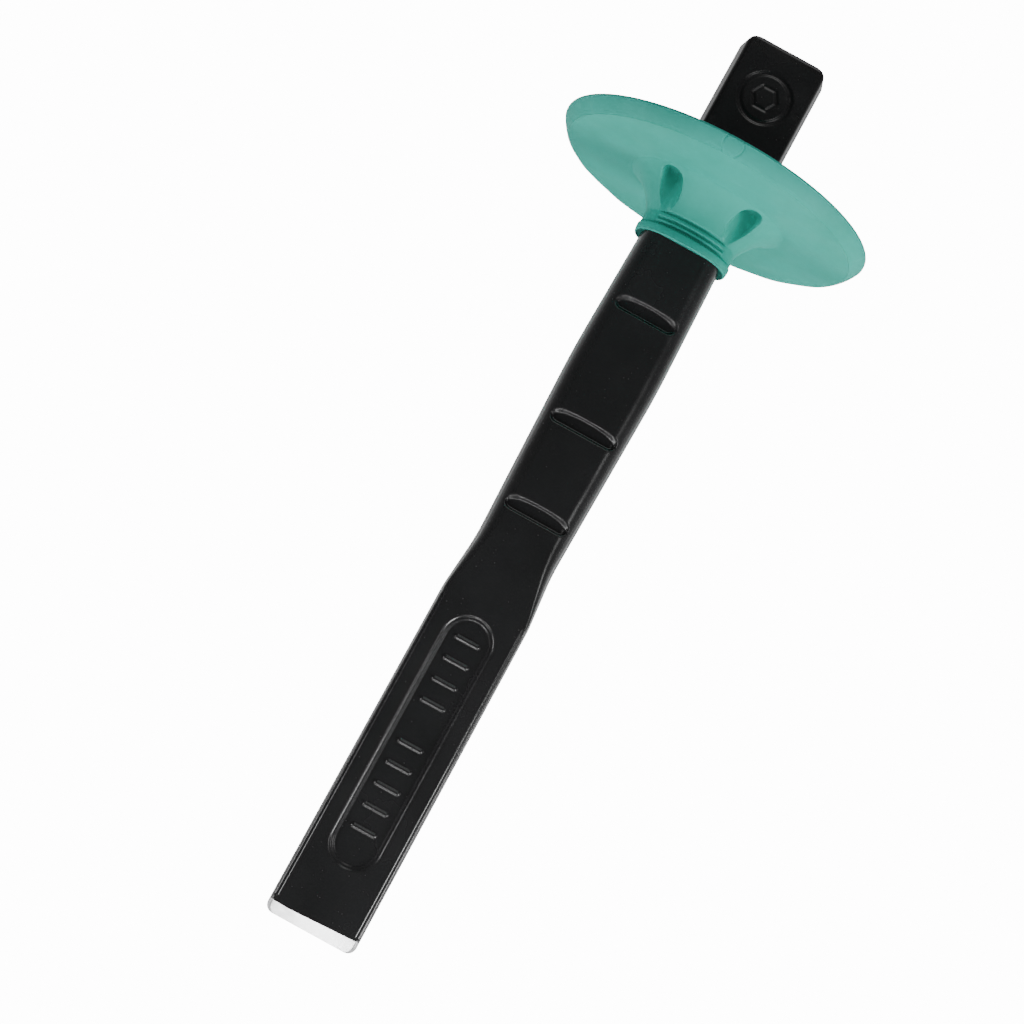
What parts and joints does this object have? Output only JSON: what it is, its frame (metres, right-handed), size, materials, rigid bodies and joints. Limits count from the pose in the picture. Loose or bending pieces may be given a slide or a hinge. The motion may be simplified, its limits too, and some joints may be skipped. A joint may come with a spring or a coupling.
{
  "type": "cold chisel",
  "caption": "Flat cold chisel for cutting and chipping metal, forged in one piece with a waisted grooved grip, and a slip-on rubber hand guard below its struck head.",
  "frame": {"origin": "middle of the cutting edge", "axes": "+X along the tool from the cutting edge to the struck end, +Y across its width, +Z out of the broad face that carries the marks"},
  "size_m": [0.2, 0.068, 0.068],
  "materials": {
    "black_lacquer": "black lacquer over forged chrome-vanadium steel, ground bright at the cutting edge",
    "teal_rubber": "satin moulded rubber, lightly scuffed"
  },
  "bodies": {
    "chisel": {"chisel_body": "black_lacquer"},
    "guard": {"hand_guard": "teal_rubber"}
  },
  "joints": [
    {"name": "guard_slide", "type": "slide", "parent": "chisel", "child": "guard", "axis": [1, 0, 0], "range_m": [0, 0.055], "deforming": ["hand_guard"]}
  ]
}
